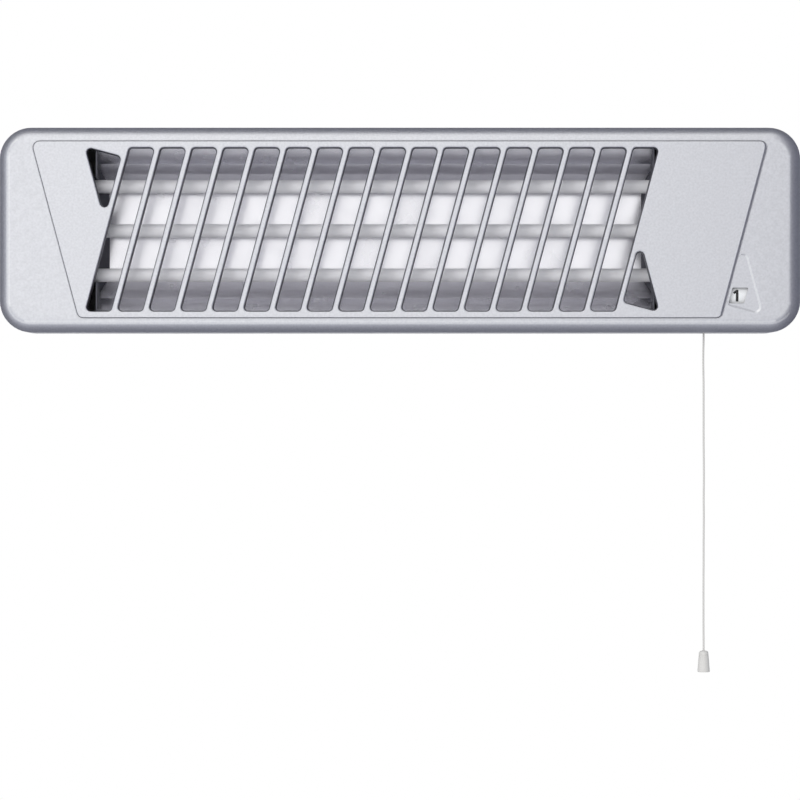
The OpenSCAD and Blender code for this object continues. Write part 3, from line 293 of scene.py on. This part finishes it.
# Heat shield: a plate of bright rolled steel between the reflector and the rear housing, with
# streaks along its length from the rolls. It is screwed down.
rolled = Finish("rolled_steel", grey(0.66), 0.28, metallic=1.0)
rolled.colours(rolled.noise(0.012, 2, (0.1, 1, 1)), grey(0.60), grey(0.72))
rolled.gloss(rolled.noise(0.0015, 3, (0.05, 1, 1)), 0.22, 0.40)
dress(rolled, "heat_shield")

# Reflector: a folded trough of polished aluminium, slightly wavy from rolling. It is screwed
# at its lip.
polished = Finish("polished_aluminium", (0.955, 0.95, 0.99), 0.24, metallic=1.0)
polished.gloss(polished.noise(0.02, 2), 0.20, 0.28)
polished.relief(polished.noise(0.03, 1), 0.0003, 0.3)
dress(polished, "reflector")

# End frames: folded sheet that shuts the reflector's ends and holds the caps, under heat-proof
# black paint, which is matt and a little grainy.
black_paint = Finish("heatproof_black", grey(0.085, 0.015), 0.6)
black_paint.colours(black_paint.noise(0.002, 3), grey(0.07, 0.015), grey(0.10, 0.015))
black_paint.relief(black_paint.noise(0.0005, 2), 0.00003)
dress(black_paint, "end_frame_left", "end_frame_right")

# Ceramic caps, thermal cut-out and terminal block: unglazed steatite, pressed and fired,
# off-white and finely pitted.
steatite = Finish("steatite", (0.74, 0.72, 0.67), 0.75)
steatite.colours(steatite.noise(0.003, 4), (0.68, 0.66, 0.60), (0.80, 0.78, 0.73))
steatite.relief(steatite.noise(0.0004, 3), 0.00004)
dress(steatite, "ceramic_caps_left", "ceramic_caps_right", "thermal_cutout", "terminal_block")

# Quartz tubes: drawn opal quartz, 10 mm across, held in the ceramic caps. The milky skin lets
# light into it and has faint drawing lines along its length.
opal = Finish("opal_quartz", (0.88, 0.86, 0.88), 0.42, IOR=1.6, Sheen_Weight=0.3,
              Subsurface_Weight=0.5, Subsurface_Radius=(1, 1, 1), Subsurface_Scale=0.004)
opal.colours(opal.noise(0.004, 3, (0.06, 1, 1)), (0.84, 0.82, 0.84), (0.92, 0.90, 0.92))
opal.gloss(opal.noise(0.006, 2, (0.1, 1, 1)), 0.36, 0.48)
opal.relief(opal.noise(0.003, 2, (0.05, 1, 1)), 0.00002)
dress(opal, "quartz_tube_top", "quartz_tube_middle", "quartz_tube_bottom")

# Heating coils: resistance wire wound to a coil inside each tube, browned by its own heat.
# Each coil's ends are joined to its terminal pins.
coil_wire = Finish("heating_wire", (0.24, 0.22, 0.21), 0.5, metallic=1.0)
coil_wire.colours(coil_wire.noise(0.003, 3), (0.18, 0.16, 0.16), (0.33, 0.30, 0.27))
coil_wire.relief(coil_wire.noise(0.0004, 2), 0.00001)
dress(coil_wire, "heating_coil_top", "heating_coil_middle", "heating_coil_bottom")

# Terminal pins, common link and switch contacts: rolled brass, slightly browned near the
# heat. The link joins the three pins at the left.
brass = Finish("brass", (0.78, 0.57, 0.28), 0.32, metallic=1.0)
brass.colours(brass.noise(0.006, 3), (0.66, 0.46, 0.22), (0.83, 0.62, 0.32))
brass.gloss(brass.noise(0.001, 3, (0.2, 1, 1)), 0.25, 0.42)
dress(brass, "terminal_pins_left", "terminal_pins_right", "common_link", "switch_contacts")

# Leads: wires in a fibreglass sleeve, each in its own colour, with the sleeve's fine weave.
# The earth lead is green with a yellow stripe.
earth_yellow = (0.62, 0.52, 0.03)
lead_colours = {
    "lead_stage_1": (0.03, 0.03, 0.03), "lead_stage_2": (0.55, 0.04, 0.03),
    "lead_stage_3": (0.80, 0.79, 0.75), "lead_common": (0.04, 0.08, 0.38),
    "lead_neutral": (0.05, 0.12, 0.50), "lead_feed": (0.20, 0.09, 0.04),
    "lead_earth": (0.12, 0.42, 0.08),
}
for name, colour in lead_colours.items():
    sleeve = Finish(name + "_sleeve", colour, 0.65)
    weave = sleeve.bands(0.0006, "DIAGONAL") * sleeve.bands(0.0005, "Z")
    if name == "lead_earth":
        sleeve.colours(sleeve.bands(0.004, "DIAGONAL"), earth_yellow, colour)
    else:
        sleeve.colours(weave, tuple(0.75 * part for part in colour), colour)
    sleeve.relief(weave, 0.00005)
    dress(sleeve, name)

# Switch body and cover, cable clamp and cord bush: moulded black plastic with a fine grain.
# The bush sits in the body's lower wall, where the cord leaves it.
black = Finish("black_plastic", grey(0.03), 0.45)
black.colours(black.noise(0.004, 2), grey(0.024), grey(0.036))
black.relief(black.cells(0.0006), 0.00002)
dress(black, "switch_body", "switch_cover", "cable_clamp", "cord_bush")

# Cam, ratchet wheel, indicator drum and cord pulley: moulded in plain white acetal, and
# carried by the selector shaft.
acetal = Finish("white_acetal", grey(0.95), 0.35)
acetal.colours(acetal.noise(0.01, 2), grey(0.93), grey(0.97))
acetal.relief(acetal.noise(0.0008, 2), 0.00001)
dress(acetal, "switch_cam", "ratchet_wheel", "indicator_drum", "cord_pulley")

# Stage numbers: 0 to 3 printed in black round the drum, a quarter turn apart, with 1 in the
# window. The flat figures are cut into narrow strips, and these are laid round the drum.
drum_low, drum_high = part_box("indicator_drum")
drum_axis = (drum_low + drum_high) / 2
drum_radius = (drum_high.z - drum_low.z) / 2
figure_height = 0.0089
figure_x = 0.2502
ink_height = 0.00003
strip = 0.0007
capital_share = 0.7
boldness = 0.0004
one_outline_mm = [
    (-1.5, 0), (0.5, 0), (0.5, 8.9), (-0.9, 8.9), (-3.6, 6.9), (-2.7, 5.5), (-1.5, 6.3),
]
ink = Finish("printing_ink", grey(0.008), 0.8, Specular_IOR_Level=0.1)
ink.colours(ink.noise(0.0005, 2), grey(0.004), grey(0.012))


def made_of(piece, finish, body):
    piece.data.materials.clear()
    piece.data.materials.append(finish.material)
    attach(piece, body)


def trace(corners):
    """A closed line through the corners, drawn by extruding a point from each to the next."""
    bpy.ops.object.select_all(action="DESELECT")
    bpy.ops.mesh.primitive_plane_add(size=0.001, location=corners[0])
    bpy.ops.object.mode_set(mode="EDIT")
    bpy.ops.mesh.select_mode(type="VERT")
    bpy.ops.mesh.select_all(action="SELECT")
    bpy.ops.mesh.merge(type="CENTER")
    for start, end in zip(corners, corners[1:] + corners[:1]):
        bpy.ops.mesh.extrude_region_move(TRANSFORM_OT_translate={"value": end - start})
    bpy.ops.mesh.select_all(action="SELECT")
    bpy.ops.mesh.remove_doubles(threshold=1e-6)
    bpy.ops.object.mode_set(mode="OBJECT")
    bpy.ops.object.transform_apply(location=True, rotation=True, scale=True)
    return bpy.context.object


def flat_figure(figure):
    """The 1 has its own outline, and the others are set from type."""
    if figure == "1":
        mark = trace([Vector((x / 1000, y / 1000, 0)) for x, y in one_outline_mm])
        bpy.ops.object.mode_set(mode="EDIT")
        bpy.ops.mesh.edge_face_add()
        bpy.ops.object.mode_set(mode="OBJECT")
        return mark
    bpy.ops.object.select_all(action="DESELECT")
    bpy.ops.object.text_add(location=(0, 0, 0))
    text = bpy.context.object.data
    text.body = figure
    text.align_x = "CENTER"
    text.size = figure_height / capital_share
    text.offset = boldness
    text.resolution_u = 8
    bpy.ops.object.convert(target="MESH")
    return bpy.context.object


for figure, quarter in (("1", 0), ("2", -1), ("3", -2), ("0", 1)):
    mark = flat_figure(figure)
    mark.name = "stage_number_" + figure
    low = min(vertex.co.y for vertex in mark.data.vertices)
    high = max(vertex.co.y for vertex in mark.data.vertices)
    bpy.ops.object.mode_set(mode="EDIT")
    bpy.ops.mesh.select_all(action="SELECT")
    bpy.ops.mesh.remove_doubles(threshold=1e-6)
    cut = low + strip
    while cut < high:
        bpy.ops.mesh.select_all(action="SELECT")
        bpy.ops.mesh.bisect(plane_co=(0, cut, 0), plane_no=(0, 1, 0), threshold=1e-7)
        cut += strip
    bpy.ops.object.mode_set(mode="OBJECT")
    reach = drum_radius + ink_height
    for vertex in mark.data.vertices:
        up = (vertex.co.y - (low + high) / 2) * figure_height / (high - low)
        turn = quarter * math.pi / 2 + up / drum_radius
        vertex.co = (
            figure_x + vertex.co.x,
            drum_axis.y - reach * math.cos(turn),
            drum_axis.z + reach * math.sin(turn),
        )
    mark.data.update()
    for face in mark.data.polygons:
        outward = face.center - drum_axis
        outward.x = 0
        if face.normal.dot(outward) < 0:
            face.flip()
    made_of(mark, ink, "selector")


# Front housing: a moulded bezel under a silver lacquer with a fine flake. Right of the panel
# a facet is sunk round the window, and its slopes that face left or down carry a painted highlight.
panel_lean = math.radians(15)
facet_y = front_y + 0.0008
slope_outward = 0.0011
slope_inward = 0.0005
same_level = 2e-5
upright = 0.1


def silver_lacquer(name, colour, metallic=0.85):
    lacquer = Finish(name, colour, 0.42, metallic)
    darker = tuple(part * 0.94 for part in colour)
    lighter = tuple(min(1, part * 1.05) for part in colour)
    lacquer.colours(lacquer.spread(lacquer.noise(0.0016, 3), 0, 1), darker, lighter)
    lacquer.gloss(lacquer.noise(0.0007, 2), 0.38, 0.48)
    lacquer.relief(lacquer.noise(0.0009, 2), 0.00001, 0.5)
    return lacquer


def copy_of(node, name):
    """The solid's shape as one closed mesh with whole flat faces."""
    bpy.ops.object.select_all(action="DESELECT")
    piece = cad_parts[node].copy()
    piece.data = piece.data.copy()
    piece.name = name
    piece.parent = None
    for key in list(piece.keys()):
        if key.startswith("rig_"):
            del piece[key]
    bpy.context.scene.collection.objects.link(piece)
    piece.select_set(True)
    bpy.context.view_layer.objects.active = piece
    bpy.ops.mesh.customdata_custom_splitnormals_clear()
    bpy.ops.object.mode_set(mode="EDIT")
    bpy.ops.mesh.select_all(action="SELECT")
    bpy.ops.mesh.remove_doubles(threshold=2e-6)
    bpy.ops.mesh.dissolve_limited(angle_limit=math.radians(0.3))
    bpy.ops.object.mode_set(mode="OBJECT")
    return piece


def lean_walls(piece, rim_y, foot_y, outward, inward):
    """Turns the upright walls between two levels into slopes: each wall's rim moves outward
    and its foot inward. The slope starts a little to the right of the leftmost wall.
    """
    fade_start = 0.0005
    fade_length = 0.003
    mesh = bmesh.new()
    mesh.from_mesh(piece.data)
    levels = (rim_y, foot_y)
    walls = {
        face for face in mesh.faces
        if abs(face.normal.y) < upright
        and all(min(abs(v.co.y - y) for y in levels) < same_level for v in face.verts)
    }
    shifts = {}
    for vertex in {v for face in walls for v in face.verts}:
        normals = [face.normal for face in vertex.link_faces if face in walls]
        facing = sum(normals, Vector()).normalized()
        at_rim = abs(vertex.co.y - rim_y) < same_level
        shift = facing * (-outward if at_rim else inward) / max(0.5, facing.dot(normals[0]))
        for face in vertex.link_faces:
            if face not in walls and abs(face.normal.y) < upright:
                along = face.normal.cross(Vector((0, 1, 0))).normalized()
                shift = along * shift.dot(along)
                break
        shifts[vertex] = shift
    side = Vector((math.cos(panel_lean), 0, -math.sin(panel_lean)))
    opening = min(vertex.co.dot(side) for vertex in shifts)
    for vertex, shift in shifts.items():
        beside = vertex.co.dot(side) - opening
        vertex.co += shift * min(1, max(0, (beside - fade_start) / fade_length))
    mesh.to_mesh(piece.data)
    mesh.free()


def smooth(piece, angle):
    """Smooth over soft edges, while the large faces keep their own direction."""
    bpy.ops.object.select_all(action="DESELECT")
    piece.select_set(True)
    bpy.context.view_layer.objects.active = piece
    bpy.ops.object.shade_smooth_by_angle(angle=math.radians(angle))
    even = piece.modifiers.new("even", "WEIGHTED_NORMAL")
    even.weight = 100
    even.keep_sharp = True
    bpy.ops.object.modifier_apply(modifier=even.name)


bezel = copy_of("front_housing", "bezel_shell")
lean_walls(bezel, front_y, facet_y, slope_outward, slope_inward)
smooth(bezel, 20)
silver = silver_lacquer("silver_paint", (0.85, 0.855, 0.885))
# A paler, less metallic copy of the lacquer: a painted highlight for the facet's slopes.
painted_highlight = silver_lacquer("silver_paint_painted_highlight", grey(0.95, 0.02), metallic=0.7)
made_of(bezel, silver, "heater")
bezel.data.materials.append(painted_highlight.material)
# The facet's slopes that face left or down take the painted highlight.
for face in bezel.data.polygons:
    leans_forward = front_y < face.center.y < facet_y and face.normal.y < -0.3
    faces_left_or_down = min(face.normal.x, face.normal.z) < -0.2
    if leans_forward and faces_left_or_down:
        face.material_index = 1
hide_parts("front_housing")

# Window: a clear moulded lens over the drum, pushed into the bezel from inside.
clear = Finish("clear_window", grey(0.95), 0.06, Alpha=0.02)
clear.gloss(clear.noise(0.004, 2), 0.04, 0.10)
clear.relief(clear.noise(0.003, 1), 0.00001)
dress(clear, "window_lens")

# Grille panel: a die-cast plate with leaning bars, screwed down from inside. Its front edges
# are rounded, with a flat chamfer at the right. It is lacquered like the bezel, and the walls of
# its slots take a dark grey copy of the lacquer as painted shade.
panel_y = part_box("grille_panel")[0].y
panel_half_height = 0.0655
panel_half_width = 0.2553
rim_width = 0.002
side_width = 0.004
edge_round = 0.0008
slot_round = 0.0013
round_steps = 4
draft_end_y = panel_y + 0.006
wall_draft = 0.0004
wall_tilt = 0.65


def on_face(edge):
    return all(abs(vertex.co.y - panel_y) < same_level for vertex in edge.verts)


def at_outline(edge):
    middle = (edge.verts[0].co + edge.verts[1].co) / 2
    side = abs(middle.x) - (panel_half_width + middle.z * math.tan(panel_lean))
    return abs(middle.z) > panel_half_height - rim_width or side > -side_width


def round_edges(piece, chosen, width):
    """Bevels the edges between two faces at more than 60 degrees that chosen(edge) picks."""
    bpy.context.view_layer.objects.active = piece
    bpy.ops.object.mode_set(mode="EDIT")
    bpy.ops.mesh.select_mode(type="EDGE")
    bpy.ops.mesh.select_all(action="DESELECT")
    mesh = bmesh.from_edit_mesh(piece.data)
    for edge in mesh.edges:
        sharp = len(edge.link_faces) == 2 and edge.calc_face_angle(0) > math.radians(60)
        if sharp and chosen(edge):
            edge.select_set(True)
    bpy.ops.mesh.bevel(
        offset_type="OFFSET", offset=width, segments=round_steps, profile=0.5, affect="EDGES",
        clamp_overlap=False, loop_slide=False,
    )
    bpy.ops.object.mode_set(mode="OBJECT")


def chamfer_right(piece, width, drop):
    """Turns the rounding along the panel's right side into a wide flat chamfer, which ends
    where the panel's corners begin.
    """
    corner_z = 0.0645
    fade_length = 0.003
    search_depth = 0.003
    outward = Vector((math.cos(panel_lean), 0, -math.sin(panel_lean)))
    for vertex in piece.data.vertices:
        beside = vertex.co.dot(outward) - panel_half_width * math.cos(panel_lean)
        sunk = (vertex.co.y - panel_y) / edge_round
        if beside < -search_depth or not -0.01 < sunk < 1.01:
            continue
        turn = math.asin(min(1, max(0, 1 - sunk)))
        ring = round(turn / (math.pi / 2) * round_steps) / round_steps
        fade = min(1, max(0, (corner_z - abs(vertex.co.z)) / fade_length))
        aside = width * ring - edge_round * (1 - math.cos(turn))
        level = panel_y + drop * (1 - ring)
        vertex.co -= outward * aside * fade
        vertex.co.y += (level - vertex.co.y) * fade


grille = copy_of("grille_panel", "grille")
round_edges(grille, lambda edge: on_face(edge) and at_outline(edge), edge_round)
chamfer_right(grille, width=0.0019, drop=0.0012)
round_edges(grille, lambda edge: on_face(edge) and not at_outline(edge), slot_round)
lean_walls(grille, panel_y + slot_round, draft_end_y, 0, wall_draft)
smooth(grille, 35)
made_of(grille, silver, "heater")
# Slot walls: a dark grey copy of the lacquer, painted shade on faces turned away from the front.
slot_wall_shade = Finish("slot_walls_painted_shade", grey(0.2, 0.02), 0.5, metallic=0.85)
slot_wall_shade.colours(slot_wall_shade.noise(0.0016, 3), grey(0.16, 0.02), grey(0.24, 0.02))
slot_wall_shade.relief(slot_wall_shade.noise(0.0009, 2), 0.00001, 0.5)
grille.data.materials.append(slot_wall_shade.material)
for face in grille.data.polygons:
    if abs(face.normal.y) < wall_tilt:
        face.material_index = 1
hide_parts("grille_panel")

# Pull cord: a thin braided cord, 238 mm from its bush to the knot inside the knob. It is swept
# along the route of the solid.
cord_exit = Vector((0.2269, -0.0815, -0.076))
cord_radius = 0.00072
cord_steps_mm = [
    (0, 0, 3), (0, 0, 1), (0, 0, -1.2), (0, 0, -6), (-0.2, 0, -14), (-0.3, 0, -22), (0, 0, -36),
    (0, 0.1, -52), (0, 0.1, -68), (0, 0, -84), (0.2, 0, -98), (0.2, -0.1, -112),
    (0, -0.1, -124), (0.2, 0, -138), (0, 0, -154), (0, 0, -170), (-0.1, 0, -186),
    (-0.1, 0, -202), (-0.1, 0, -218), (0, 0, -230), (0, 0, -237.7),
]
route = [cord_exit + Vector(step) / 1000 for step in cord_steps_mm]
bpy.ops.object.select_all(action="DESELECT")
bpy.ops.curve.primitive_nurbs_path_add(enter_editmode=False)
cord = bpy.context.object
cord.name = "braided_pull_cord"
spline = cord.data.splines[0]
spline.points.add(len(route) - len(spline.points))
for point, place in zip(spline.points, route):
    point.co = (*place, 1)
spline.order_u = 3
spline.use_endpoint_u = True
cord.data.resolution_u = 6
cord.data.bevel_depth = cord_radius
cord.data.bevel_resolution = 3
cord.data.use_fill_caps = True
bpy.ops.object.convert(target="MESH")
cord = bpy.context.object
braid = Finish("cord_braid", (0.70, 0.68, 0.645), 0.7)
over = braid.bands(0.0011, "DIAGONAL")
under = braid.bands(0.0009, "Z")
braid.colours(over * under, (0.62, 0.60, 0.57), (0.80, 0.775, 0.74))
braid.relief(over, 0.00012).relief(under, 0.00006)
cord.data.materials.append(braid.material)
for face in cord.data.polygons:
    face.use_smooth = True
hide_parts("pull_cord")
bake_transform(cord)
dress(braid, "cord_lead", "cord_wrap", "cord_knot")

# Knob: a small bell of pale grey plastic, turned, with a ring groove near its top. The cord's
# knot inside it carries it. Its profile is spun round the cord.
knob_low, knob_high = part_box("pull_knob")
profile_height = 16
profile_scale = (knob_high.z - knob_low.z) / profile_height
profile_mm = [
    (3.0, 4.6), (3.7, 0.0), (4.25, 0.0), (4.5, 0.15), (4.58, 0.5), (4.5, 2.0), (4.05, 8.0),
    (3.68, 12.6), (3.5, 12.75), (3.5, 12.95), (3.66, 13.1), (3.4, 14.7), (2.95, 15.4),
    (2.3, 15.75), (1.55, 15.9), (1.15, 16.0), (0.92, 16.0), (0.92, 13.7), (2.4, 13.6), (2.6, 9.0),
]
knob = trace([
    Vector((cord_exit.x + radius / 1000, cord_exit.y, knob_low.z + height * profile_scale))
    for radius, height in profile_mm
])
knob.name = "bell_knob"
bpy.ops.object.mode_set(mode="EDIT")
bpy.ops.mesh.spin(
    steps=48, angle=2 * math.pi, center=(cord_exit.x, cord_exit.y, 0), axis=(0, 0, 1)
)
bpy.ops.mesh.select_all(action="SELECT")
bpy.ops.mesh.remove_doubles(threshold=1e-6)
bpy.ops.mesh.normals_make_consistent(inside=False)
bpy.ops.object.mode_set(mode="OBJECT")
bpy.ops.object.shade_smooth_by_angle(angle=math.radians(50))
knob_plastic = Finish("knob_plastic", (0.69, 0.67, 0.635), 0.42, Coat_Weight=0.15)
knob_plastic.colours(knob_plastic.noise(0.004, 3), (0.66, 0.64, 0.61), (0.72, 0.70, 0.665))
knob_plastic.relief(knob_plastic.noise(0.0006, 2), 0.00002)
made_of(knob, knob_plastic, "cord")
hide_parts("pull_knob")
